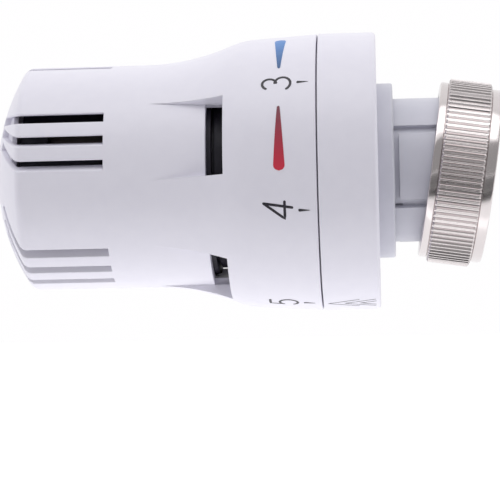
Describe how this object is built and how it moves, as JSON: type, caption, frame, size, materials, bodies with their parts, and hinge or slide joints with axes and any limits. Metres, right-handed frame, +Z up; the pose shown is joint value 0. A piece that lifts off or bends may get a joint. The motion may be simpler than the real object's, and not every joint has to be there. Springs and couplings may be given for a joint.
{
  "type": "thermostatic radiator valve head",
  "caption": "Thermostatic radiator head: slotted white knob with a printed dial, fixed index ring, neck and a loose knurled union nut.",
  "frame": {"origin": "centre of the neck's end face, the seat that meets the valve body", "axes": "+X along the head's axis towards the valve body, -X to the domed cap, +Z up; the pointer is below the front"},
  "size_m": [0.0941, 0.0514, 0.0514],
  "materials": {
    "white_plastic": "satin injection-moulded ABS",
    "base_plastic": "satin injection-moulded plastic, a little cooler",
    "black_plastic": "matte black glass-filled nylon",
    "nickel": "nickel-plated brass",
    "brass": "turned brass",
    "spring_steel": "drawn spring steel",
    "pin_steel": "ground stainless steel",
    "can_metal": "drawn can, dull",
    "bellows_bronze": "thin bronze",
    "spacer_plastic": "natural plastic",
    "washer_plastic": "natural acetal"
  },
  "bodies": {
    "base": {"neck_housing": "base_plastic", "index_ring": "white_plastic", "thread_guide": "black_plastic", "pin_bush": "brass", "knob_retaining_ring": "spring_steel"},
    "handwheel": {"handwheel_shell": "white_plastic", "drive_cage": "black_plastic"},
    "carrier": {"sensor_carrier": "black_plastic", "sensor_can": "can_metal", "fill_plug": "can_metal", "sensor_lid": "can_metal", "bellows": "bellows_bronze", "return_spring": "spring_steel"},
    "piston_group": {"piston": "brass", "insulating_spacer": "spacer_plastic", "overload_cup": "can_metal", "spring_retainer": "spring_steel", "overload_spring": "spring_steel"},
    "pin": {"push_pin": "pin_steel"},
    "nut_slider": {"slip_washer": "washer_plastic"},
    "nut_tilter": {"thrust_bush": "washer_plastic"},
    "nut": {"union_nut": "nickel"}
  },
  "joints": [
    {"name": "handwheel_turn", "type": "hinge", "parent": "base", "child": "handwheel", "pos_m": [-0.03, 0, 0], "axis": [1, 0, 0], "range_deg": [0, 270]},
    {"name": "carrier_travel", "type": "slide", "parent": "handwheel", "child": "carrier", "axis": [1, 0, 0], "range_m": [0, 0.00376]},
    {"name": "sensor_stroke", "type": "slide", "parent": "carrier", "child": "piston_group", "axis": [1, 0, 0], "range_m": [0, 0.0022], "stiffness_N_per_m": 200, "deforming": ["bellows", "return_spring"]},
    {"name": "overload_travel", "type": "slide", "parent": "piston_group", "child": "pin", "axis": [-1, 0, 0], "range_m": [0, 0.002], "stiffness_N_per_m": 200, "deforming": ["overload_spring"]},
    {"name": "nut_slide", "type": "slide", "parent": "base", "child": "nut_slider", "axis": [-1, 0, 0], "range_m": [0, 0.0022]},
    {"name": "nut_tilt", "type": "hinge", "parent": "nut_slider", "child": "nut_tilter", "pos_m": [-0.00475, 0, 0], "axis": [0, -1, 0], "range_deg": [0, 17.4]},
    {"name": "nut_spin", "type": "hinge", "parent": "nut_tilter", "child": "nut", "pos_m": [-0.00475, 0, 0], "axis": [0.9885, 0, -0.1513], "continuous": true}
  ],
  "couplings": [
    {"joint": "carrier_travel", "follows": "handwheel_turn", "m_per_rad": 0.00079577}
  ]
}
